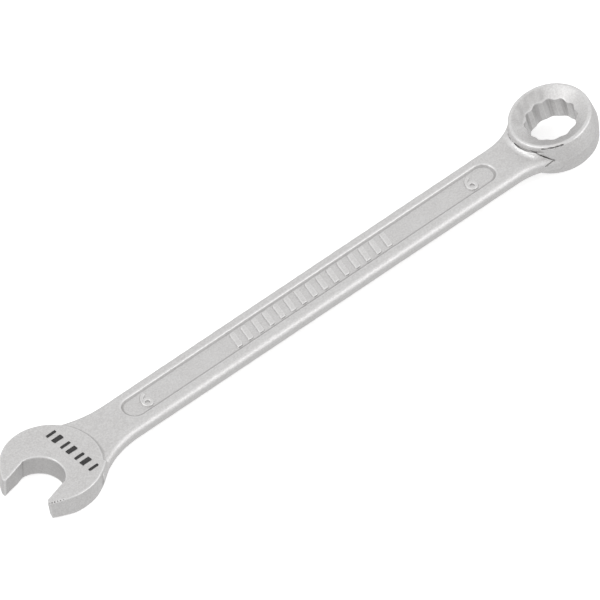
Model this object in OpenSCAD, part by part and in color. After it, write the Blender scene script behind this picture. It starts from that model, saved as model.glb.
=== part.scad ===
// Combination wrench, 6 mm size: an open end turned 15 degrees in the plane of
// the shank, and a 12-point ring tipped 11.5 degrees out of that plane.
// The real tool is one forging. Its regions are kept here as separate solids
// that meet face to face: the open-end head, the shank with both necks, the
// ring head, and the raised and printed marks that sit on them.
// Frame: +X runs along the shank from the open end to the ring, +Z is up
// through the face that carries the marks, and the origin is at the middle of
// the bottom of the whole tool's bounding box.

/* [Wrench size] */
// Width across flats of the open end and of the ring socket, with its clearance
across_flats = 6.05; // [5.8:0.05:6.3]
// Distance between the centre of the open jaw and the centre of the ring
centres = 87.1; // [80:0.1:110]

/* [Open end] */
// Angle between the jaw and the shank, in degrees
jaw_angle = 15; // [0:1:20]
// Thickness of the open-end head
head_t = 3.1; // [2.6:0.1:3.6]
// Radius of the round disc that carries the jaws
disc_r = 6.4; // [6:0.1:7]
// Distance from the jaw centre back to the disc centre
disc_back = 2.4; // [2:0.1:3]
// Radius of the throat between the two flats
throat_r = 3.2; // [3.15:0.05:3.4]
// Reach of the jaw tips past the jaw centre
jaw_reach = 3.35; // [2.8:0.05:3.6]
// Sideways offset of the disc from the shank's axis
disc_offset = -0.29; // [-0.6:0.01:0.3]

/* [Shank] */
// Full width of the shank
shank_w = 6.2; // [5.4:0.1:6.6]
// Thickness of the shank
shank_t = 2.3; // [2:0.1:2.8]
// Width of the bevel along the shank's long edges
shank_bevel = 0.6; // [0.3:0.05:0.8]
// Radius of the neck on the long side of the open end
neck_r_far = 16; // [12:0.2:20]
// Radius of the neck on the short side of the open end
neck_r_near = 14; // [12:0.2:18]
// Radius of the two necks beside the ring
neck_r_ring = 9; // [6:0.5:12]

/* [Recessed panel] */
// Where the panel starts, from the disc's centre
panel_start = 12.4; // [12:0.1:14]
// Length of the panel from end to end
panel_l = 62; // [50:0.5:64]
// Width of the panel
panel_w = 3.45; // [3:0.05:3.8]
// Depth of the panel below the shank's face
panel_d = 0.3; // [0.2:0.05:0.4]
// Height of the raised marks above the panel's floor
relief = 0.2; // [0.1:0.05:0.3]

/* [Ring] */
// Angle the ring's axis is tipped towards the open end, in degrees
ring_tilt = 11.5; // [8:0.5:18]
// Angle the ring's axis leans across the shank, in degrees
ring_lean = 5.7; // [0:0.1:8]
// Angle the socket's points are turned from the shank's direction, in degrees
socket_turn = -8; // [-15:1:15]
// Outer radius of the ring at its middle height
ring_r = 5.8; // [5.4:0.05:6]
// Outer radius of the ring at its two faces
ring_face_r = 5.3; // [4.9:0.05:5.4]
// Height of the ring along its own axis
ring_h = 5.2; // [4.4:0.1:5.4]
// Depth of the wide countersink in the upper face
ring_sink = 1.0; // [0.3:0.05:1.3]
// Depth of the wide countersink in the lower face
ring_sink_low = 1.2; // [0.3:0.05:1.3]
// Radius to which the twelve points of the socket are rounded off
point_r = 3.4; // [3.3:0.02:3.5]
// Height of the ring's centre over the underside of the open-end head
ring_z = 2.35; // [2.2:0.05:3.2]

/* [Marks] */
// Height of the size numerals
numeral_h = 2.3; // [1.8:0.1:2.5]
// Number of raised ribs in the row at the middle of the panel
ribs = 15; // [8:1:18]
// Length of the row of ribs
ribs_l = 27; // [20:1:32]
// Thickness of the printed mark
print_t = 0.05; // [0.03:0.01:0.1]

/* [Hidden] */
$fn = 96;

half_af = across_flats / 2;
ca = cos(jaw_angle);
sa = sin(jaw_angle);
// Disc centre, and the jaw centre that the nut's axis runs through
disc_c = [1.07, disc_offset];
jaw_c = [disc_c[0] - disc_back * ca, disc_c[1] - disc_back * sa];
// Outer arcs of the two jaws, given along and across the jaw's own axis
far_arc = [3.18, -2.27, 8.67];
near_arc = [2.4, 3.1, 9.35];
throat_back = 0.4;
function jaw_pt(a, b) = [jaw_c[0] + a * ca - b * sa, jaw_c[1] + a * sa + b * ca];

mid_z = head_t / 2;
top_z = mid_z + shank_t / 2;
low_z = mid_z - shank_t / 2;
half_w = shank_w / 2;
floor_z = top_z - panel_d;
panel_x0 = disc_c[0] + panel_start;
panel_x1 = panel_x0 + panel_l;

ring_x = jaw_c[0] + centres;
// Direction of the ring's axis
axis = [-sin(ring_tilt), cos(ring_tilt) * sin(ring_lean), cos(ring_tilt) * cos(ring_lean)];
// Outside of the ring as radius and height, going up from the lower face
ring_side = [[ring_face_r - 0.25, -ring_h / 2], [ring_face_r, -ring_h / 2 + 0.1],
             [ring_r, -0.45], [ring_r, 0.45],
             [ring_face_r, ring_h / 2 - 0.1], [ring_face_r - 0.25, ring_h / 2]];
// Necks beside the ring: arcs that touch the shank's side and the ring's wall
neck_y = ring_r * (half_w + neck_r_ring) / (ring_r + neck_r_ring) + 0.05;
neck_dx = sqrt(pow(ring_r + neck_r_ring, 2) - pow(half_w + neck_r_ring, 2));
ring_neck_x = ring_x - neck_dx;
far_neck_x = disc_c[0] + 11.5;
near_neck_x = disc_c[0] + 12.1;
// How far the short side's outer arc carries on past the disc's centre
shoulder = 3.8;

// Bounding box of the whole tool, from which the origin is set
far_tip_b = far_arc[1] + sqrt(pow(far_arc[2], 2) - pow(far_arc[0] + jaw_reach, 2));
x_lo = jaw_pt(-jaw_reach, far_tip_b)[0];
// a circle of the ring at radius p[0] and height p[1] reaches this far along +X and -Z
x_hi = ring_x + max([for (p = ring_side) p[1] * axis[0] + p[0] * sqrt(1 - axis[0] * axis[0])]);
y_hi = disc_c[1] + disc_r;
y_lo = min(jaw_pt(near_arc[0], near_arc[1])[1] - near_arc[2], disc_c[1] - disc_r);
z_lo = ring_z + min([for (p = ring_side) p[1] * axis[2] - p[0] * sqrt(1 - axis[2] * axis[2])]);
origin = [(x_lo + x_hi) / 2, (y_lo + y_hi) / 2, z_lo];

module at_jaw()
    translate([jaw_c[0], jaw_c[1], 0]) rotate([0, 0, jaw_angle]) children();

module at_jaw_flat()
    translate(jaw_c) rotate(jaw_angle) children();

module shoulder_region()
    at_jaw() translate([disc_back, -9, -1.5]) cube([shoulder, 7, head_t + 3]);

module disc_clear()
    translate([disc_c[0], disc_c[1], -1]) cylinder(r = disc_r, h = head_t + 2, $fn = 180);

// Plan of the open end: the disc, the two jaws, and the slot between the flats
module head_plan() {
    // the flats end where the rounder throat takes over
    slot_end = sqrt(pow(throat_r, 2) - pow(half_af, 2)) - throat_back;
    difference() {
        union() {
            translate(disc_c) circle(r = disc_r, $fn = 180);
            at_jaw_flat() intersection() {
                translate([far_arc[0], far_arc[1]]) circle(r = far_arc[2], $fn = 180);
                translate([near_arc[0], near_arc[1]]) circle(r = near_arc[2], $fn = 180);
                translate([-jaw_reach - 1, -10]) square([jaw_reach + 1.6, 20]);
            }
            // the short side's arc runs on a little, to meet the neck
            at_jaw_flat() intersection() {
                translate([near_arc[0], near_arc[1]]) circle(r = near_arc[2] + 0.1, $fn = 180);
                translate([disc_back, -9]) square([shoulder, 7]);
            }
        }
        at_jaw_flat() translate([-12, -half_af]) square([12 + slot_end, 2 * half_af]);
        at_jaw_flat() intersection() {
            translate([-throat_back, 0]) circle(r = throat_r, $fn = 180);
            translate([-throat_back, -half_af]) square([throat_r + 1, 2 * half_af]);
        }
        // square end of the far jaw
        at_jaw_flat() translate([-jaw_reach - 4, -half_af]) square([4, 20]);
        // slanted end and flattened corner of the near jaw
        at_jaw_flat()
            polygon([[-jaw_reach, -half_af], [-jaw_reach - 0.39, -3.57], [-2.19, -4.78],
                     [-1.2, -5.56], [-1.2, -9], [-9, -9], [-9, -half_af]]);
    }
}

// Open-end head: the plan at its full thickness
module open_end_head() {
    color("silver")
    linear_extrude(head_t) head_plan();
}

// Section of everything outside the shank's side, q outwards and z upwards
function outside(reach) = let (c = shank_bevel)
    [[-c, low_z - 2], [reach, low_z - 2], [reach, top_z + 2], [-c, top_z + 2],
     [-c, top_z], [0, top_z - c], [0, low_z + c], [-c, low_z]];

// Cuts the shank's side at +Y: an arc, a straight run, and an arc into the ring
module side_cut(r1, x1) {
    intersection() {
        translate([x1, half_w + r1, 0])
            rotate_extrude($fn = 180) polygon([for (p = outside(r1)) [r1 - p[0], p[1]]]);
        translate([x1 - 12, 0, -5]) cube([12, 12, 15]);
    }
    translate([x1, half_w, 0]) rotate([90, 0, 90])
        linear_extrude(ring_neck_x - x1) polygon(outside(8));
    intersection() {
        translate([ring_neck_x, half_w + neck_r_ring, 0])
            rotate_extrude($fn = 120)
                polygon([for (p = outside(neck_r_ring)) [neck_r_ring - p[0], p[1]]]);
        translate([ring_neck_x, 0, -5]) cube([9, 16, 15]);
    }
}

// Round-ended prism over the panel's area
module panel_prism(z, h) {
    r = panel_w / 2;
    translate([panel_x0 + r, 0, z]) cylinder(r = r, h = h);
    translate([panel_x1 - r, 0, z]) cylinder(r = r, h = h);
    translate([panel_x0 + r, -r, z]) cube([panel_l - 2 * r, panel_w, h]);
}

// The whole outside of the ring as a solid of revolution, on its tipped axis
module at_ring()
    translate([ring_x, 0, ring_z]) rotate([-ring_lean, 0, 0]) rotate([0, -ring_tilt, 0]) children();

module ring_outside()
    rotate_extrude($fn = 180)
        polygon(concat([[0, -ring_h / 2]], ring_side, [[0, ring_h / 2]]));

// Shank: both necks, bevelled edges and a recessed panel on each face
module shank() {
    color("gainsboro")
    difference() {
        union() {
            translate([disc_c[0] + 4, -6, low_z]) cube([10, 12, shank_t]);
            translate([disc_c[0] + 13, -neck_y, low_z])
                cube([ring_x - 2.9 - disc_c[0] - 13, 2 * neck_y, shank_t]);
        }
        side_cut(neck_r_far, far_neck_x);
        mirror([0, 1, 0]) side_cut(neck_r_near, near_neck_x);
        disc_clear();
        shoulder_region();
        at_ring() ring_outside();
        panel_prism(floor_z, panel_d + 1);
        panel_prism(low_z - 1, panel_d + 1);
    }
}

// Twelve-point star: two hexagons turned 30 degrees, points rounded off
module socket() {
    hex_r = half_af / cos(30);
    rotate([0, 0, socket_turn]) intersection() {
        union() {
            cylinder(r = hex_r, h = ring_h + 2, center = true, $fn = 6);
            rotate([0, 0, 30]) cylinder(r = hex_r, h = ring_h + 2, center = true, $fn = 6);
        }
        cylinder(r = point_r, h = ring_h + 4, center = true);
    }
}

// Wide countersink from the ring's face down to the socket
module countersink(depth)
    rotate_extrude($fn = 120)
        polygon([[0, ring_h / 2 - depth - 0.6], [half_af - 1, ring_h / 2 - depth - 0.6],
                 [half_af, ring_h / 2 - depth], [ring_face_r - 0.35, ring_h / 2],
                 [ring_face_r - 0.35, ring_h / 2 + 1], [0, ring_h / 2 + 1]]);

// Ring head: drafted outside, countersunk faces, twelve-point socket
module ring_head() {
    color("silver")
    at_ring()
        difference() {
            ring_outside();
            socket();
            countersink(ring_sink);
            mirror([0, 0, 1]) countersink(ring_sink_low);
        }
}

// The numeral 6, standing across the shank, on the panel's floor
module numeral() {
    w = numeral_h * 0.62;
    r = w / 2;
    s = numeral_h * 0.17;
    // bowl
    difference() {
        cylinder(r = r, h = relief, $fn = 48);
        translate([0, 0, -1]) cylinder(r = r - s, h = relief + 2, $fn = 48);
    }
    // stem: a quarter of a large ring that starts at the bowl's left side
    big = numeral_h - r;
    intersection() {
        translate([big - r, 0, 0])
            difference() {
                cylinder(r = big, h = relief, $fn = 72);
                translate([0, 0, -1]) cylinder(r = big - s, h = relief + 2, $fn = 72);
            }
        translate([-r - 1, 0, -1]) cube([big * 0.86 + 1, big + 1, relief + 2]);
    }
}

module size_numeral_open_end()
    color("gainsboro")
    translate([panel_x0 + 3.5, -numeral_h / 2 + numeral_h * 0.31, floor_z]) numeral();

module size_numeral_ring_end()
    color("gainsboro")
    translate([panel_x1 - 3.9, -numeral_h / 2 + numeral_h * 0.31, floor_z]) numeral();

// A row of plain slanted ribs
module raised_ribs() {
    color("gainsboro")
    translate([panel_x0 + 18, 0, floor_z])
        for (i = [0 : ribs - 1])
            translate([i * ribs_l / ribs, 0, 0])
                linear_extrude(relief)
                    polygon([[0, -1.15], [0.75, -1.15], [1.35, 1.15], [0.6, 1.15]]);
}

// A plain printed band of blocks across the head
module printed_mark() {
    color("black")
    translate([disc_c[0] + 3.15, disc_c[1] - 0.1, head_t])
        for (i = [-3 : 3])
            translate([-0.75, i * 1.28 - 0.45, 0])
                cube([1.5, i % 2 == 0 ? 0.66 : 0.38, print_t]);
}

translate(-origin) {
    open_end_head();
    shank();
    ring_head();
    size_numeral_open_end();
    size_numeral_ring_end();
    raised_ribs();
    printed_mark();
}
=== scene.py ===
import math

import bpy
import numpy as np
from mathutils import Matrix, Vector


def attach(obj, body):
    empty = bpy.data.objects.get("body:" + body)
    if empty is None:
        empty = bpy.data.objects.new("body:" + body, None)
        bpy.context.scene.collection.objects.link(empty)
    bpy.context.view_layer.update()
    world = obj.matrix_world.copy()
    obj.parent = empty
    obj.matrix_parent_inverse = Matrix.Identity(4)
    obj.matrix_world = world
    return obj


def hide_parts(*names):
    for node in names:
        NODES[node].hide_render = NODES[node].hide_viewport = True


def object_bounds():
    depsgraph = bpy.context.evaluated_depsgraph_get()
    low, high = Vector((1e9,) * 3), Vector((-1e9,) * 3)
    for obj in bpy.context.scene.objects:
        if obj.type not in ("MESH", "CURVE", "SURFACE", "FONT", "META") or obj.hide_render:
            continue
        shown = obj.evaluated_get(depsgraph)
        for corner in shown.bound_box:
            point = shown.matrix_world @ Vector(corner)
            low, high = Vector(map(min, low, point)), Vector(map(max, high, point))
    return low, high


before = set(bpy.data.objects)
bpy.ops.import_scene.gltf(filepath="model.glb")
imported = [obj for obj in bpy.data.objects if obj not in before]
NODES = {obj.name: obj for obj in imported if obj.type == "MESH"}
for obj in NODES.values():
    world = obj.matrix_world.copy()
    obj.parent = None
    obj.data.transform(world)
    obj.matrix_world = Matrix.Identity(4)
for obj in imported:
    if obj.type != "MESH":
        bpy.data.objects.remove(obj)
CAD_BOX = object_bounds()

# ---------------------------------------------------------------- dimensions
# Millimetres, in the frame the CAD source draws in; SHIFT then takes them to
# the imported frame, whose origin is under the middle of the tool.
C15, S15 = math.cos(math.radians(15)), math.sin(math.radians(15))
DISC = (1.07, -0.29)
R_DISC = 6.4
JAW = (DISC[0] - 2.4 * C15, DISC[1] - 2.4 * S15)
HALF_AF = 3.025
THROAT_R = 3.2
REACH = 3.35
MID = 1.55
HALF_HEAD = 1.55
HALF_SHANK = 1.15
TOP_Z = MID + HALF_SHANK
LOW_Z = MID - HALF_SHANK
HALF_W = 3.1
FLOOR_Z = TOP_Z - 0.3
FAR_NECK_X, FAR_NECK_R = 12.57, 16.0
NEAR_NECK_X, NEAR_NECK_R = 13.17, 14.0
RING_NECK_R = 9.0
RING_X = JAW[0] + 87.1
RING_Z = 2.35
RING_R = 5.8
RING_H = 2.6
# The ring's own axes: its axis leans towards the open end and across the shank.
TIP, LEAN = math.radians(11.5), math.radians(5.7)
RING_N = (-math.sin(TIP), math.cos(TIP) * math.sin(LEAN), math.cos(TIP) * math.cos(LEAN))
RING_U = (math.cos(TIP), math.sin(TIP) * math.sin(LEAN), math.sin(TIP) * math.cos(LEAN))
RING_V = (0.0, math.cos(LEAN), -math.sin(LEAN))
TURN = math.radians(-8)
RING_NECK_X = RING_X - math.sqrt((RING_R + RING_NECK_R) ** 2 - (HALF_W + RING_NECK_R) ** 2)
PANEL_X0, PANEL_X1, PANEL_R = 13.47, 75.47, 1.725

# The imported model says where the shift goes: its box is the CAD's box.
lo, hi = CAD_BOX
RING_SIDE = ((5.05, -2.6), (5.3, -2.5), (5.8, -0.45), (5.8, 0.45), (5.3, 2.5), (5.05, 2.6))
X_HI = RING_X + max(w * RING_N[0] + r * math.sqrt(1 - RING_N[0] ** 2) for r, w in RING_SIDE)
Y_HI = DISC[1] + R_DISC
Z_LO = RING_Z + min(w * RING_N[2] - r * math.sqrt(1 - RING_N[2] ** 2) for r, w in RING_SIDE)
SHIFT = np.array([hi.x * 1000 - X_HI, hi.y * 1000 - Y_HI, lo.z * 1000 - Z_LO])


# ------------------------------------------------------------ field functions
def rmin(a, b, r):
    """Union with a round fillet of radius r."""
    return np.maximum(r, np.minimum(a, b)) - np.sqrt(
        np.maximum(r - a, 0) ** 2 + np.maximum(r - b, 0) ** 2)


def rmax(a, b, r):
    """Intersection with the edge rounded to radius r."""
    return np.minimum(-r, np.maximum(a, b)) + np.sqrt(
        np.maximum(r + a, 0) ** 2 + np.maximum(r + b, 0) ** 2)


def pmin(a, b, k):
    """Soft union that swells by k / 4 at most, for surfaces that nearly touch."""
    h = np.maximum(k - np.abs(a - b), 0)
    return np.minimum(a, b) - h * h / (4 * k)


def step(x, a, b):
    t = np.clip((x - a) / (b - a), 0, 1)
    return t * t * (3 - 2 * t)


def jaw_ab(x, y):
    dx, dy = x - JAW[0], y - JAW[1]
    return dx * C15 + dy * S15, -dx * S15 + dy * C15


def head_outline(x, y):
    """Outside of the open end in plan, before the mouth is cut."""
    a, b = jaw_ab(x, y)
    disc = np.hypot(x - DISC[0], y - DISC[1]) - R_DISC
    far = np.hypot(a - 3.18, b + 2.27) - 8.67
    near = np.hypot(a - 2.4, b - 3.1) - 9.35
    jaws = np.maximum(np.maximum(far, near), a - 0.6)
    shoulder = np.maximum(np.maximum(near - 0.1, b + 2.0), np.maximum(2.4 - a, a - 6.2))
    return pmin(pmin(disc, jaws, 0.12), shoulder, 0.12)


def mouth(x, y):
    """The slot between the flats and the rounder throat behind it, in plan."""
    a, b = jaw_ab(x, y)
    slot = np.maximum(np.abs(b) - HALF_AF, a - 0.644)
    throat = np.maximum(np.hypot(a + 0.4, b) - THROAT_R, np.maximum(np.abs(b) - HALF_AF, -0.4 - a))
    return np.minimum(slot, throat)


def head_plan(x, y):
    a, b = jaw_ab(x, y)
    # the far jaw ends square; the near jaw has a slanted end and a flattened corner
    square = np.where(b > 0, -REACH - a, -REACH - 1.2 - a)
    body = rmax(head_outline(x, y), square, 0.3)
    slanted = np.where(b < 0, (b + HALF_AF) * 0.582 - (a + REACH) * 0.813, -9.0)
    corner = -(a + 3.74) * 0.615 - (b + 3.57) * 0.788
    body = rmax(rmax(body, corner, 0.35), slanted, 0.16)
    return rmax(body, -mouth(x, y), 0.2)


def shank_plan(x, y):
    """Outward distance from the shank's sides, necks included."""
    far = np.where(
        x < FAR_NECK_X,
        FAR_NECK_R - np.hypot(x - FAR_NECK_X, y - HALF_W - FAR_NECK_R),
        np.where(x > RING_NECK_X,
                 RING_NECK_R - np.hypot(x - RING_NECK_X, y - HALF_W - RING_NECK_R),
                 y - HALF_W))
    near = np.where(
        x < NEAR_NECK_X,
        NEAR_NECK_R - np.hypot(x - NEAR_NECK_X, y + HALF_W + NEAR_NECK_R),
        np.where(x > RING_NECK_X,
                 RING_NECK_R - np.hypot(x - RING_NECK_X, y + HALF_W + RING_NECK_R),
                 -y - HALF_W))
    return np.maximum(far, near)


def panel_d(x, y):
    """Outward distance from the outline of the recessed panel."""
    cx = np.clip(x, PANEL_X0 + PANEL_R, PANEL_X1 - PANEL_R)
    return np.hypot(x - cx, y) - PANEL_R


def ring_uvw(x, y, z):
    d = (x - RING_X, y, z - RING_Z)
    return tuple(d[0] * e[0] + d[1] * e[1] + d[2] * e[2] for e in (RING_U, RING_V, RING_N))


def ring_outside(rho, w):
    """The ring's outside: flat face, thin edge bevel, drafted wall, round waist."""
    aw = np.abs(w)
    bevel = ((rho - 5.05) * 0.1 + (aw - RING_H) * 0.25) / 0.2693
    wall = ((rho - 5.3) * 2.05 + (aw - 2.5) * 0.5) / 2.11
    side = rmax(wall, rho - RING_R, 0.5)
    return rmax(rmax(side, bevel, 0.16), aw - RING_H, 0.05)


def ring_hole(u, v, rho):
    """Twelve-point socket: two hexagons, their points rounded off."""
    def hexagon(start):
        d = -1e3
        for k in range(3):
            t = math.radians(start + 60 * k) + TURN
            d = np.maximum(d, np.abs(u * math.cos(t) + v * math.sin(t)))
        return d - HALF_AF
    star = np.minimum(hexagon(30), hexagon(0))
    return rmax(star, rho - 3.4, 0.06)


def waves(x, y, z):
    """Slow unevenness of a forged and blasted surface, a few hundredths of a millimetre."""
    return (0.010 * np.sin(1.9 * x + 0.7) * np.sin(2.3 * y + 1.1 + 0.6 * np.sin(0.8 * x))
            + 0.006 * np.sin(4.1 * x + 2.0 + np.sin(1.3 * y)) * np.sin(3.7 * y + 0.4 + 1.2 * z)
            + 0.004 * np.sin(0.45 * x + 1.0))


# Small knocks from handling: centre and radius of a ball that presses in.
def at_tip(a, b, z, r):
    return JAW[0] + a * C15 - b * S15, JAW[1] + a * S15 + b * C15, z, r


DENTS = (at_tip(-3.60, -3.62, 3.08, 0.15), at_tip(-3.38, -3.82, 3.06, 0.14),
         at_tip(-3.12, -4.02, 3.06, 0.14), at_tip(-2.80, -4.26, 3.08, 0.13),
         at_tip(-2.52, -4.48, 3.07, 0.13), at_tip(-2.2, -4.72, 3.09, 0.11), (74.7, 1.15, 2.62, 0.14))


# Folds left by the dies where the shank's bevel runs into the ring, as lines
# with a radius that press in, and the broken edge of the ring's rim above them.
FOLDS = (((80.47, -1.63, 3.36), (80.79, -2.55, 3.20), (81.35, -3.40, 2.83), (82.00, -4.17, 2.46),
          (81.47, -4.01, 2.14), (80.94, -3.85, 1.85)),
         ((81.12, -2.91, 4.08), (81.55, -3.42, 4.20), (81.69, -3.57, 4.32), (82.10, -3.92, 4.40),
          (82.37, -4.11, 4.52), (83.14, -4.56, 4.71)))


def fold_distance(x, y, z):
    best = 9.0
    for path in FOLDS:
        for a, b in zip(path, path[1:]):
            d = [q - p for p, q in zip(a, b)]
            e = (x - a[0], y - a[1], z - a[2])
            t = np.clip((e[0] * d[0] + e[1] * d[1] + e[2] * d[2]) / (d[0] ** 2 + d[1] ** 2 + d[2] ** 2), 0, 1)
            r = np.sqrt((e[0] - t * d[0]) ** 2 + (e[1] - t * d[1]) ** 2 + (e[2] - t * d[2]) ** 2)
            best = np.minimum(best, r)
    return best


def forging(x, y, z):
    """Signed distance, in millimetres, of the whole forged blank. Arrays broadcast."""
    w = np.abs(z - MID)
    outline = head_outline(x, y)
    plan = head_plan(x, y)
    a, b = jaw_ab(x, y)
    tips = 0.25 * step(-a, 0.2, REACH)
    head = rmax(plan, np.maximum(z - 2 * HALF_HEAD, tips - z), 0.2)
    # the end of the shorter jaw leans in towards its underside
    lean = np.where(b < 0, (b + HALF_AF) * 0.582 - (a + REACH) * 0.813 + 0.17 * (2 * HALF_HEAD - z), -9.0)
    head = rmax(head, lean, 0.15)

    # shank: neck and disc run together in plan, then the sides are bevelled
    side = np.maximum(shank_plan(x, y), 4.6 - x)
    side = pmin(side, outline + 0.15, 0.45)
    side = rmax(side, x - RING_X + 2.7, 0.8)
    bevel = ((side + 0.6) * 0.5 + (w - HALF_SHANK) * 0.6) / 0.781
    shank = rmax(rmax(bevel, side, 0.3), w - HALF_SHANK, 0.2)
    shank = np.maximum(shank, 3.6 - x)
    pd = panel_d(x, y)
    cutter = rmax((pd + 0.633 * (HALF_SHANK - w)) * 0.845, HALF_SHANK - 0.3 - w, 0.14)
    shank = rmax(shank, -cutter, 0.1)

    u, v, lw = ring_uvw(x, y, z)
    rho = np.hypot(u, v)
    ring = ring_outside(rho, lw)

    body = rmin(head, shank, 0.4)
    # a broad fillet runs round the ring on the shank's face and dies out at its sides
    k = 1.35 - 1.1 * step(np.abs(y), 2.4, 3.6)
    body = pmin(body, ring, k)
    # and a pressed groove between that fillet and the ring's rim
    groove = np.hypot(rho - 5.52, lw - 1.86) - 0.12
    groove = np.where((x < RING_X) & (np.abs(y) < 4.2), groove + 0.25 * step(np.abs(y), 2.6, 4.0), 9.0)
    body = rmax(body, -groove, 0.12)
    # countersinks and socket
    for s, depth in ((1, 1.0), (-1, 1.2)):
        run = 4.95 - 3.025
        cone = (-(rho - 3.025) * depth + (s * lw - RING_H + depth) * run) / math.hypot(depth, run)
        cone = np.where(x > RING_X - 7, cone, -9.0)
        body = rmax(body, cone, 0.07)
    hole = np.where(x > RING_X - 7, ring_hole(u, v, rho), 9.0)
    body = rmax(body, -hole, 0.08)
    # mouth, again, so that the neck can't fill it
    body = np.maximum(body, np.where(x < 6, rmax(-mouth(x, y), w - HALF_HEAD - 1, 0.01), -9.0))
    for cx, cy, cz, r in DENTS:
        if np.min(x) > cx + 1 or np.max(x) < cx - 1:
            continue
        ball = np.sqrt((x - cx) ** 2 + (y - cy) ** 2 + (z - cz) ** 2) - r
        body = rmax(body, -ball, 0.05)
    if np.max(x) > 79.5 and np.min(x) < 84.5:
        ragged = 0.085 + 0.03 * np.sin(17 * x + 9 * y)
        body = rmax(body, ragged - fold_distance(x, y, z), 0.04)
    return body + waves(x, y, z) + 0 * z


# ------------------------------------------------------------------- meshing
def gradient(f, p, h=0.004):
    g = np.empty_like(p)
    for i in range(3):
        q = [p[:, 0], p[:, 1], p[:, 2]]
        a, b = list(q), list(q)
        a[i] = q[i] + h
        b[i] = q[i] - h
        g[:, i] = (f(*a) - f(*b)) / (2 * h)
    return g


def surface(f, xs, ys, zs):
    """Quads of the zero level of f on the grid xs, ys, zs, pulled onto the level and with its true normals."""
    field = np.empty((len(xs), len(ys), len(zs)), np.float32)
    Y, Z = ys[None, :, None], zs[None, None, :]
    for i in range(0, len(xs), 24):
        field[i:i + 24] = f(xs[i:i + 24, None, None], Y, Z)
    inside = field < 0
    count = np.zeros(tuple(n - 1 for n in inside.shape), np.uint8)
    nx, ny, nz = count.shape
    for a in (0, 1):
        for b in (0, 1):
            for c in (0, 1):
                count += inside[a:nx + a, b:ny + b, c:nz + c]
    cells = np.argwhere((count > 0) & (count < 8))
    index = np.full(count.shape, -1, np.int32)
    index[tuple(cells.T)] = np.arange(len(cells), dtype=np.int32)
    corners = {(a, b, c): field[cells[:, 0] + a, cells[:, 1] + b, cells[:, 2] + c].astype(float)
               for a in (0, 1) for b in (0, 1) for c in (0, 1)}
    total = np.zeros((len(cells), 3))
    hits = np.zeros(len(cells))
    for axis in range(3):
        for b in (0, 1):
            for c in (0, 1):
                one = [0, 0, 0]
                others = [k for k in range(3) if k != axis]
                one[others[0]], one[others[1]] = b, c
                two = list(one)
                two[axis] = 1
                f0, f1 = corners[tuple(one)], corners[tuple(two)]
                hit = (f0 < 0) != (f1 < 0)
                t = np.where(hit, f0 / np.where(hit, f0 - f1, 1), 0)
                at = np.repeat(np.array(one, float)[None], len(cells), 0)
                at[:, axis] = t
                total += at * hit[:, None]
                hits += hit
    frac = total / hits[:, None]
    grids = (xs, ys, zs)
    p = np.empty((len(cells), 3))
    cell_size = np.empty((len(cells), 3))
    for k in range(3):
        g = grids[k]
        cell_size[:, k] = g[cells[:, k] + 1] - g[cells[:, k]]
        p[:, k] = g[cells[:, k]] + frac[:, k] * cell_size[:, k]
    cap = 0.5 * cell_size.min(1)
    for _ in range(3):
        value = f(p[:, 0], p[:, 1], p[:, 2])
        g = gradient(f, p)
        move = g * (value / np.maximum((g * g).sum(1), 0.05))[:, None]
        length = np.linalg.norm(move, axis=1)
        move *= np.minimum(1, cap / np.maximum(length, 1e-9))[:, None]
        p = p - move
    quads = []
    for axis in range(3):
        lo_side = [slice(None)] * 3
        hi_side = [slice(None)] * 3
        lo_side[axis], hi_side[axis] = slice(0, -1), slice(1, None)
        a, b = inside[tuple(lo_side)], inside[tuple(hi_side)]
        edge = np.argwhere(a != b)
        o1, o2 = [k for k in range(3) if k != axis]
        keep = (edge[:, o1] > 0) & (edge[:, o2] > 0) & (edge[:, o1] < inside.shape[o1] - 1) & (edge[:, o2] < inside.shape[o2] - 1)
        edge = edge[keep]
        flip = a[tuple(edge.T)]
        ring = []
        for d1, d2 in ((-1, -1), (0, -1), (0, 0), (-1, 0)):
            e = edge.copy()
            e[:, o1] += d1
            e[:, o2] += d2
            ring.append(index[tuple(e.T)])
        q = np.stack(ring, 1)
        if axis == 1:
            flip = ~flip
        q[~flip] = q[~flip][:, ::-1]
        quads.append(q)
    quads = np.concatenate(quads)
    n = gradient(f, p, 0.02)
    n /= np.maximum(np.linalg.norm(n, axis=1), 1e-9)[:, None]
    return p, quads, n


def curvature(f, p, n, h):
    """Bend of the surface, 1 / mm: above zero on an edge that stands out, below in a crease."""
    around = 0
    t1 = np.cross(n, np.where(np.abs(n[:, :1]) < 0.7, [[1.0, 0, 0]], [[0, 1.0, 0]]))
    t1 /= np.linalg.norm(t1, axis=1)[:, None]
    t2 = np.cross(n, t1)
    for t in (t1, -t1, t2, -t2):
        q = p + t * h
        around = around + f(q[:, 0], q[:, 1], q[:, 2])
    return around / (h * h)


def loops_of(quads):
    """Closed chains of vertices along the edges that only one quad uses, in the quads' direction."""
    e = np.concatenate([quads[:, [0, 1]], quads[:, [1, 2]], quads[:, [2, 3]], quads[:, [3, 0]]])
    e = e[e[:, 0] != e[:, 1]]
    big = np.int64(e.max() + 1)
    key, count = np.unique(e[:, 0] * big + e[:, 1], return_counts=True)
    a, b = key // big, key % big
    back = b * big + a
    at = np.minimum(np.searchsorted(key, back), len(key) - 1)
    opposite = np.where(key[at] == back, count[at], 0)
    free = np.repeat(np.stack([a, b], 1), np.maximum(count - opposite, 0), axis=0)
    follow = {}
    for a, b in free.tolist():
        follow.setdefault(a, []).append(b)
    loops = []
    while follow:
        start = next(iter(follow))
        loop, at = [start], start
        while True:
            nxt = follow[at].pop()
            if not follow[at]:
                del follow[at]
            at = nxt
            if at == start:
                break
            loop.append(at)
        loops.append(loop)
    return loops


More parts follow.
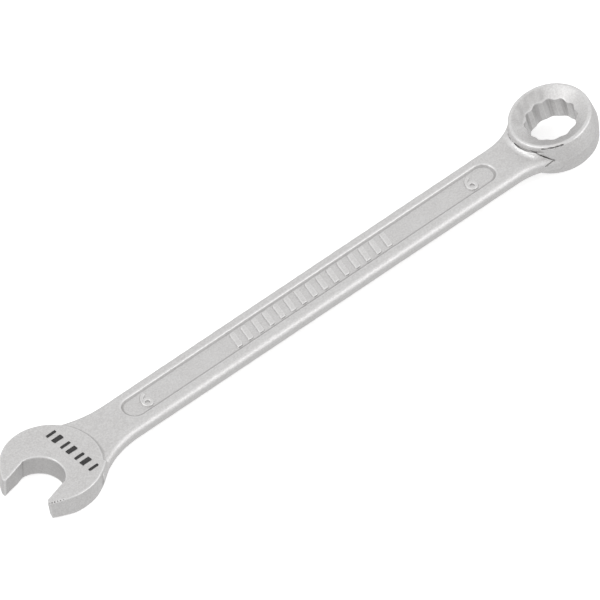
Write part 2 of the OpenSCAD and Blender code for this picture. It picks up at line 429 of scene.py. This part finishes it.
def make_piece(name, points, quads, normals, values, node, material):
    """A closed mesh from some of the quads: the cut sides are closed inside the metal."""
    quads = quads.astype(np.int64)
    used, small = np.unique(quads, return_inverse=True)
    small = small.reshape(-1, 4)
    co = points[used]
    faces = small.tolist()
    vertex_n = normals[used]
    caps = []
    count = len(used)
    extra = []
    for loop in loops_of(small):
        middle = co[loop].mean(0)
        centre = count + len(extra)
        extra.append(middle)
        for a, b in zip(loop, loop[1:] + loop[:1]):
            caps.append([b, a, centre])
    if extra:
        co = np.concatenate([co, np.array(extra)])
    co = (co + SHIFT) / 1000.0
    mesh = bpy.data.meshes.new(name)
    all_faces = faces + caps
    sizes = np.array([len(f) for f in all_faces], np.int32)
    flat = np.fromiter((i for f in all_faces for i in f), np.int32, int(sizes.sum()))
    mesh.vertices.add(len(co))
    mesh.vertices.foreach_set("co", co.astype(np.float32).ravel())
    mesh.loops.add(len(flat))
    mesh.loops.foreach_set("vertex_index", flat)
    mesh.polygons.add(len(sizes))
    starts = np.concatenate([[0], np.cumsum(sizes)[:-1]]).astype(np.int32)
    mesh.polygons.foreach_set("loop_start", starts)
    mesh.polygons.foreach_set("use_smooth", np.ones(len(sizes), bool))
    mesh.update(calc_edges=True)
    mesh.validate(verbose=False)
    if values is not None:
        # per point: curvature, and on the forging also painted shade and painted highlight, which the material
        # turns into colour
        attribute = mesh.attributes.new("edge_bend_and_painted_light", "FLOAT", "POINT")
        v = np.zeros(len(co), np.float32)
        v[:count] = values[used]
        attribute.data.foreach_set("value", v)
    corner_n = np.empty((len(flat), 3), np.float32)
    n_main = int(sizes[:len(faces)].sum())
    corner_n[:n_main] = vertex_n[flat[:n_main]]
    if caps:
        face_n = np.empty(len(sizes) * 3, np.float32)
        mesh.polygons.foreach_get("normal", face_n)
        face_n = face_n.reshape(-1, 3)[len(faces):]
        corner_n[n_main:] = np.repeat(face_n, 3, axis=0)
    if len(mesh.loops) == len(corner_n):
        mesh.normals_split_custom_set(corner_n)
    obj = bpy.data.objects.new(name, mesh)
    bpy.context.scene.collection.objects.link(obj)
    mesh.materials.append(material)
    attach(obj, "root")
    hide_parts(node)
    return obj


# ----------------------------------------------------------------- materials
class Nodes:
    """Short hand for building a node tree."""

    def __init__(self, tree):
        self.tree = tree
        tree.nodes.clear()

    def add(self, kind, **settings):
        n = self.tree.nodes.new(kind)
        for key, value in settings.items():
            if key in n.inputs:
                n.inputs[key].default_value = value
            else:
                setattr(n, key, value)
        return n

    def link(self, a, b):
        self.tree.links.new(a, b)

    def math(self, operation, a, b=None, clamp=False):
        n = self.tree.nodes.new("ShaderNodeMath")
        n.operation = operation
        n.use_clamp = clamp
        for i, value in enumerate((a, b)):
            if value is None:
                continue
            if isinstance(value, (int, float)):
                n.inputs[i].default_value = value
            else:
                self.link(value, n.inputs[i])
        return n.outputs[0]

    def mix(self, factor, a, b):
        n = self.tree.nodes.new("ShaderNodeMix")
        n.data_type = "RGBA"
        for socket, value in ((n.inputs["Factor"], factor), (n.inputs[6], a), (n.inputs[7], b)):
            if isinstance(value, (int, float)):
                socket.default_value = value
            elif isinstance(value, tuple):
                socket.default_value = value
            else:
                self.link(value, socket)
        return n.outputs[2]

    def ramp(self, value, stops):
        n = self.tree.nodes.new("ShaderNodeValToRGB")
        while len(n.color_ramp.elements) < len(stops):
            n.color_ramp.elements.new(0.5)
        for element, (at, level) in zip(n.color_ramp.elements, stops):
            element.position = at
            element.color = (level, level, level, 1)
        self.link(value, n.inputs[0])
        return n.outputs[0]


def grey(v, warm=0.0):
    return (v * (1 + warm), v, v * (1 - warm * 0.3), 1)


def satin_chrome(name, level=0.62, rough=0.40, grain=1.0, edges=True):
    """Shot-blasted steel under a thin satin chrome: a fine grain, slow patches, edges brightened by wear, a
    painted highlight, and painted shade that darkens creases and hollows, near black in the deepest.
    """
    mat = bpy.data.materials.new(name)
    mat.use_nodes = True
    t = Nodes(mat.node_tree)
    out = t.add("ShaderNodeOutputMaterial")
    bsdf = t.add("ShaderNodeBsdfPrincipled")
    bsdf.inputs["Metallic"].default_value = 1.0
    t.link(bsdf.outputs[0], out.inputs[0])
    coord = t.add("ShaderNodeTexCoord")
    mm = t.add("ShaderNodeMapping")
    mm.inputs["Scale"].default_value = (1000, 1000, 1000)
    t.link(coord.outputs["Object"], mm.inputs[0])

    def noise(scale, detail=2.0, roughness=0.5, distortion=0.0):
        n = t.add("ShaderNodeTexNoise")
        n.inputs["Scale"].default_value = scale
        n.inputs["Detail"].default_value = detail
        n.inputs["Roughness"].default_value = roughness
        n.inputs["Distortion"].default_value = distortion
        t.link(mm.outputs[0], n.inputs["Vector"])
        return n.outputs[0]

    patches = noise(0.35, 3.0, 0.55)
    mottle = noise(1.7, 4.0, 0.65, 0.4)
    fine = noise(4.6, 3.0, 0.65)
    # blast craters: cells about a seventh of a millimetre across
    cells = t.add("ShaderNodeTexVoronoi")
    cells.feature = "SMOOTH_F1"
    cells.inputs["Scale"].default_value = 6.5
    cells.inputs["Smoothness"].default_value = 0.6
    t.link(mm.outputs[0], cells.inputs["Vector"])

    base = t.mix(t.ramp(patches, ((0.36, 0.0), (0.64, 1.0))),
                 grey(level * 0.965, 0.012), grey(level * 1.03, 0.006))
    base = t.mix(t.math("MULTIPLY", t.ramp(mottle, ((0.35, 0.0), (0.7, 1.0))), 0.5),
                 base, grey(level * 0.87, 0.014))
    base = t.mix(t.math("MULTIPLY", t.ramp(fine, ((0.42, 0.0), (0.62, 1.0))), 0.6),
                 base, grey(level * 1.20, 0.004))
    roughness = t.math("ADD", t.math("MULTIPLY", patches, 0.10), rough - 0.05)
    roughness = t.math("ADD", roughness, t.math("MULTIPLY", mottle, 0.08))
    if edges:
        # the attribute gives curvature plus painted light: raised values brighten as edge wear and as painted
        # highlight, lowered values darken as painted shade
        bend_and_painted_light = t.add("ShaderNodeAttribute")
        bend_and_painted_light.attribute_name = "edge_bend_and_painted_light"
        # brighter on edges that stand out, as wear, and on the fillet band, as painted highlight
        wear_and_highlight = t.ramp(t.math("MULTIPLY", bend_and_painted_light.outputs["Fac"], 0.12), ((0.08, 0.0), (0.45, 1.0)))
        # painted shade: darker colour, and rougher, in creases, hollows and wherever the attribute is lowered
        painted_shade = t.ramp(t.math("MULTIPLY", bend_and_painted_light.outputs["Fac"], -0.14), ((0.08, 0.0), (0.5, 1.0)))
        breakup = t.ramp(noise(3.0, 3.0, 0.6), ((0.30, 0.35), (0.62, 1.0)))
        wear_and_highlight = t.math("MULTIPLY", wear_and_highlight, breakup)
        base = t.mix(t.math("MULTIPLY", wear_and_highlight, 0.5), base, grey(min(level * 1.32, 0.93), 0.0))
        base = t.mix(t.math("MULTIPLY", painted_shade, 0.55), base, grey(level * 0.55, 0.02))
        # painted shade: near black in the deepest hollows, the folds and the knocks
        black = t.ramp(t.math("MULTIPLY", bend_and_painted_light.outputs["Fac"], -0.05), ((0.60, 0.0), (0.98, 1.0)))
        base = t.mix(t.math("MULTIPLY", black, 0.88), base, grey(0.06, 0.05))
        roughness = t.math("SUBTRACT", roughness, t.math("MULTIPLY", wear_and_highlight, 0.10))
        roughness = t.math("ADD", roughness, t.math("MULTIPLY", painted_shade, 0.15), True)
    t.link(base, bsdf.inputs["Base Color"])
    t.link(roughness, bsdf.inputs["Roughness"])
    height = t.math("ADD", t.math("MULTIPLY", fine, 0.55), t.math("MULTIPLY", cells.outputs[0], 0.5))
    bump = t.add("ShaderNodeBump")
    bump.inputs["Strength"].default_value = 0.8 * grain
    bump.inputs["Distance"].default_value = 0.00004
    t.link(height, bump.inputs["Height"])
    slow = t.add("ShaderNodeBump")
    slow.inputs["Strength"].default_value = 0.25 * grain
    slow.inputs["Distance"].default_value = 0.00006
    t.link(mottle, slow.inputs["Height"])
    t.link(slow.outputs[0], bump.inputs["Normal"])
    t.link(bump.outputs[0], bsdf.inputs["Normal"])
    return mat


def printed_ink(name):
    """Pad-printed black ink on the blasted face: thin, a little uneven, slightly shiny."""
    mat = bpy.data.materials.new(name)
    mat.use_nodes = True
    t = Nodes(mat.node_tree)
    out = t.add("ShaderNodeOutputMaterial")
    bsdf = t.add("ShaderNodeBsdfPrincipled")
    t.link(bsdf.outputs[0], out.inputs[0])
    coord = t.add("ShaderNodeTexCoord")
    mm = t.add("ShaderNodeMapping")
    mm.inputs["Scale"].default_value = (1000, 1000, 1000)
    t.link(coord.outputs["Object"], mm.inputs[0])
    n = t.add("ShaderNodeTexNoise")
    n.inputs["Scale"].default_value = 5.0
    n.inputs["Detail"].default_value = 4.0
    t.link(mm.outputs[0], n.inputs["Vector"])
    colour = t.mix(t.ramp(n.outputs[0], ((0.35, 0.0), (0.75, 1.0))),
                   (0.010, 0.010, 0.011, 1), (0.035, 0.034, 0.034, 1))
    t.link(colour, bsdf.inputs["Base Color"])
    t.link(t.math("ADD", t.math("MULTIPLY", n.outputs[0], 0.25), 0.38), bsdf.inputs["Roughness"])
    bump = t.add("ShaderNodeBump")
    bump.inputs["Strength"].default_value = 0.3
    bump.inputs["Distance"].default_value = 0.00002
    t.link(n.outputs[0], bump.inputs["Height"])
    t.link(bump.outputs[0], bsdf.inputs["Normal"])
    return mat


CHROME = satin_chrome("satin_chrome")
CHROME_RING = CHROME
RELIEF = satin_chrome("satin_chrome_relief", level=0.66, rough=0.34)
INK = printed_ink("black_print")

# ------------------------------------------------------------ forged pieces
FINE = 0.07
LONG = 0.22


def spaced(a, b, d):
    n = int(round((b - a) / d))
    return np.linspace(a, b, n + 1)


xs = np.concatenate([spaced(-6.0, 14.0, FINE)[:-1], spaced(14.0, 73.6, LONG)[:-1], spaced(73.6, 92.2, FINE)])
ys = spaced(-7.1, 6.5, FINE)
zs = spaced(-1.25, 6.6, FINE)
points, quads, normals = surface(forging, xs + 0.0013, ys + 0.0017, zs + 0.0011)
bend_and_painted_light = curvature(forging, points, normals, 0.09)
# painted shade: the sawn walls of the mouth and the far part of the ring's dish are made darker, and rougher
wall = np.exp(-(mouth(points[:, 0], points[:, 1]) / 0.1) ** 2) * (points[:, 0] < 4) * (points[:, 2] < 2.95)
bend_and_painted_light -= 1.9 * wall
u, v, lw = ring_uvw(points[:, 0], points[:, 1], points[:, 2])
turn, rho = np.degrees(np.arctan2(v, u)), np.hypot(u, v)
dish = step(turn, 45, 65) * (1 - step(turn, 125, 160)) * step(rho, 3.3, 3.6) * (1 - step(rho, 4.7, 5.1)) * (lw > 0)
uneven = np.sin(2.3 * u + 1.1 * v) + np.sin(3.1 * v - 1.7 * u + 1) + np.sin(5.3 * u - 2.9 * v + 2)
bend_and_painted_light -= (1.7 + 0.35 * uneven) * dish * (points[:, 0] > RING_X - 6)
# painted shade: the folds, and the knocks further down, are made darker, near black at their deepest
patchy = 14 + 7 * np.sin(19 * points[:, 0] + 13 * points[:, 1])
bend_and_painted_light -= patchy * np.exp(-(fold_distance(points[:, 0], points[:, 1], points[:, 2]) / 0.12) ** 2)
# painted highlight: a band along the fillet in front of the ring is made brighter
u, v, lw = ring_uvw(points[:, 0], points[:, 1], points[:, 2])
painted_highlight_band = np.exp(-((np.hypot(u, v) - 5.92) ** 2 + (lw - 1.62) ** 2) / 0.34 ** 2)
bend_and_painted_light += np.where((points[:, 0] < RING_X - 3) & (np.abs(points[:, 1]) < 4.2), 9 * painted_highlight_band, 0)
# painted shade in the knocks: darker, near black at their middle
for cx, cy, cz, r in DENTS:
    d2 = (points[:, 0] - cx) ** 2 + (points[:, 1] - cy) ** 2 + (points[:, 2] - cz) ** 2
    bend_and_painted_light -= 17 * np.exp(-d2 / (r * 0.95) ** 2)

centre = points[quads].mean(1)
a, b = jaw_ab(centre[:, 0], centre[:, 1])
in_disc = np.hypot(centre[:, 0] - DISC[0], centre[:, 1] - DISC[1]) < R_DISC
in_shoulder = (a > 2.4) & (a < 6.2) & (b < -2) & (np.hypot(a - 2.4, b - 3.1) < 9.45)
in_jaws = a < 0.6
is_head = in_disc | in_shoulder | in_jaws
u, v, lw = ring_uvw(centre[:, 0], centre[:, 1], centre[:, 2])
is_ring = (ring_outside(np.hypot(u, v), lw) < 0.035) & (centre[:, 0] > RING_X - 8)
is_shank = ~is_head & ~is_ring
make_piece("forged_open_end", points, quads[is_head], normals, bend_and_painted_light, "open_end_head", CHROME)
make_piece("forged_shank", points, quads[is_shank], normals, bend_and_painted_light, "shank", CHROME)
make_piece("forged_ring", points, quads[is_ring], normals, bend_and_painted_light, "ring_head", CHROME_RING)


# ------------------------------------------------------- raised and printed marks
def stroke_distance(x, y, path):
    """Distance to a line through the points of a path, in plan."""
    best = None
    for (x0, y0), (x1, y1) in zip(path, path[1:]):
        dx, dy = x1 - x0, y1 - y0
        t = np.clip(((x - x0) * dx + (y - y0) * dy) / (dx * dx + dy * dy), 0, 1)
        d = np.hypot(x - x0 - t * dx, y - y0 - t * dy)
        best = d if best is None else np.minimum(best, d)
    return best


def numeral_field(x0, y0):
    """The digit 6, its foot on the near side: a bowl and a curved stem."""
    h, sw = 2.3, 0.19
    r = h * 0.31 - sw
    big = h - h * 0.31 - sw
    stem = [(x0 - r + big - big * math.cos(t), y0 + big * math.sin(t))
            for t in np.linspace(0, math.radians(72), 14)]

    def f(x, y, z):
        bowl = np.abs(np.hypot(x - x0, y - y0) - r)
        d = np.minimum(bowl, stroke_distance(x, y, stem)) - sw
        slope = (d + (z - FLOOR_Z - 0.2) * 0.45) * 0.91
        return rmax(rmax(slope, z - FLOOR_Z - 0.2, 0.07), FLOOR_Z - 0.12 - z, 0.01)
    return f


def make_relief(name, f, x, y, z, d, node, material):
    p, q, n = surface(f, spaced(*x, d), spaced(*y, d), spaced(*z, min(d, 0.03)))
    return make_piece(name, p, q, n, curvature(f, p, n, 0.05), node, material)


d = 0.035
for name, node, x0 in (("raised_six_open_end", "size_numeral_open_end", PANEL_X0 + 3.5),
                       ("raised_six_ring_end", "size_numeral_ring_end", PANEL_X1 - 3.9)):
    y0 = -1.15 + 2.3 * 0.31
    make_relief(name, numeral_field(x0, y0), (x0 - 1.1, x0 + 1.1), (-1.4, 1.4),
                (FLOOR_Z - 0.2, FLOOR_Z + 0.3), d, node, RELIEF)


def ribs_field(x, y, z):
    start, pitch = PANEL_X0 + 18, 27 / 15
    lean = 0.6 / 2.3
    s = x - start - 0.675 - (y * lean)
    i = np.clip(np.round(s / pitch), 0, 14)
    across = np.abs(s - i * pitch) * 0.968 - 0.36
    d2 = rmax(across, np.abs(y) - 1.15, 0.14)
    slope = (d2 + (z - FLOOR_Z - 0.2) * 0.45) * 0.91
    return rmax(rmax(slope, z - FLOOR_Z - 0.2, 0.07), FLOOR_Z - 0.12 - z, 0.01)


make_relief("raised_rib_row", ribs_field, (PANEL_X0 + 17.4, PANEL_X0 + 45.6), (-1.4, 1.4),
            (FLOOR_Z - 0.2, FLOOR_Z + 0.3), d * 1.4, "raised_ribs", RELIEF)


def print_field(x, y, z):
    best = None
    px, py = x - DISC[0] - 3.15, y - DISC[1] + 0.1
    rag = 0.012 * np.sin(23 * x + 5 * y) + 0.010 * np.sin(31 * y + 2.0)
    for i in range(-3, 4):
        wide = 0.66 if i % 2 == 0 else 0.38
        cy = i * 1.28 - 0.45 + wide / 2
        block = rmax(np.abs(px) - 0.75, np.abs(py - cy) - wide / 2, 0.08)
        best = block if best is None else np.minimum(best, block)
    return rmax(best + rag, np.abs(z - 3.115) - 0.035, 0.012)


p, q, n = surface(print_field, spaced(3.2, 5.3, d), spaced(-5.2, 4.8, d), spaced(3.06, 3.17, 0.008))
make_piece("printed_blocks", p, q, n, None, "printed_mark", INK)

# ------------------------------------------------------------ floor and light
# The tool rests on the ring's lower edge and the tips of the jaws, so the
# floor lies along those two, turned less than a degree about Y.
rest_x = RING_X + RING_H * math.sin(TIP) - 5.05 * math.cos(TIP)
tip_x = -5.6
rise = (0.0 - Z_LO) / (rest_x - tip_x)
floor_mesh = bpy.data.meshes.new("pale_floor")
half = 3.0
floor_mesh.from_pydata([(-half, -half, 0), (half, -half, 0), (half, half, 0), (-half, half, 0)],
                       [], [(0, 1, 2, 3)])
floor = bpy.data.objects.new("pale_floor", floor_mesh)
bpy.context.scene.collection.objects.link(floor)
floor.rotation_euler = (0, math.atan(rise), 0)
floor.location = ((rest_x + SHIFT[0]) / 1000, 0, (Z_LO + SHIFT[2]) / 1000 - 0.00002)
floor_mat = bpy.data.materials.new("pale_floor")
floor_mat.use_nodes = True
fb = floor_mat.node_tree.nodes["Principled BSDF"]
fb.inputs["Base Color"].default_value = (0.93, 0.93, 0.93, 1)
fb.inputs["Roughness"].default_value = 0.9
fb.inputs["Specular IOR Level"].default_value = 0.1
fb.inputs["Emission Color"].default_value = (1, 1, 1, 1)
fb.inputs["Emission Strength"].default_value = 0.45
floor_mesh.materials.append(floor_mat)
# the sheet is only a backdrop: the tool is lit by the surroundings below
floor.visible_glossy = False
floor.visible_diffuse = False

world = bpy.data.worlds.new("studio")
bpy.context.scene.world = world
world.use_nodes = True
sky = world.node_tree
background = sky.nodes["Background"]
direction = sky.nodes.new("ShaderNodeTexCoord")
parts = sky.nodes.new("ShaderNodeSeparateXYZ")
shade = sky.nodes.new("ShaderNodeValToRGB")
half_up = sky.nodes.new("ShaderNodeMath")
half_up.operation = "MULTIPLY_ADD"
half_up.inputs[1].default_value, half_up.inputs[2].default_value = 0.5, 0.5
sky.links.new(direction.outputs["Generated"], parts.inputs[0])
sky.links.new(parts.outputs["Z"], half_up.inputs[0])
sky.links.new(half_up.outputs[0], shade.inputs[0])
sky.links.new(shade.outputs[0], background.inputs[0])
# darker below the tool than above it
for element, (at, v) in zip(shade.color_ramp.elements, ((0.35, 0.81), (0.62, 0.95))):
    element.position = at
    element.color = (v, v * 0.996, v * 0.992, 1)
background.inputs[1].default_value = 1.0


def softbox(name, toward, distance, size, power):
    light = bpy.data.lights.new(name, "AREA")
    light.shape = "RECTANGLE"
    light.size, light.size_y = size
    light.energy = power
    obj = bpy.data.objects.new(name, light)
    bpy.context.scene.collection.objects.link(obj)
    d = Vector(toward).normalized()
    obj.location = d * distance
    obj.rotation_mode = "QUATERNION"
    obj.rotation_quaternion = d.to_track_quat("Z", "Y")
    obj.visible_camera = False
    return obj


softbox("key_right", (0.60, -0.82, 0.32), 0.55, (0.55, 0.35), 0.5)
softbox("fill_left", (-0.62, 0.30, 0.62), 0.55, (0.35, 0.35), 0.4)

bpy.context.scene.view_settings.view_transform = "Standard"
bpy.context.scene.view_settings.look = "None"

# -------------------------------------------------------------------- camera
theta, elev = math.radians(42.8917), math.radians(45.9684)
right = Vector((math.cos(theta), -math.sin(theta), 0))
ahead = Vector((math.sin(theta), math.cos(theta), 0))
up_dir = ahead * math.sin(elev) + Vector((0, 0, math.cos(elev)))
look = ahead * math.cos(elev) - Vector((0, 0, math.sin(elev)))
target = (right * 31.4215 + up_dir * 22.3194 + look * 18.3 + Vector(SHIFT)) / 1000
LENS = 1400.0
WIDTH = 0.600 / 8.1125
camera = bpy.data.objects.new("camera", bpy.data.cameras.new("camera"))
bpy.context.scene.collection.objects.link(camera)
camera.data.type = "PERSP"
camera.data.sensor_width = 36.0
camera.data.lens = LENS
dist = WIDTH * LENS / 36.0
camera.location = target - look * dist
camera.rotation_mode = "QUATERNION"
camera.rotation_quaternion = look.to_track_quat("-Z", "Y")
camera.data.clip_start, camera.data.clip_end = 0.05, 20.0
bpy.context.scene.camera = camera
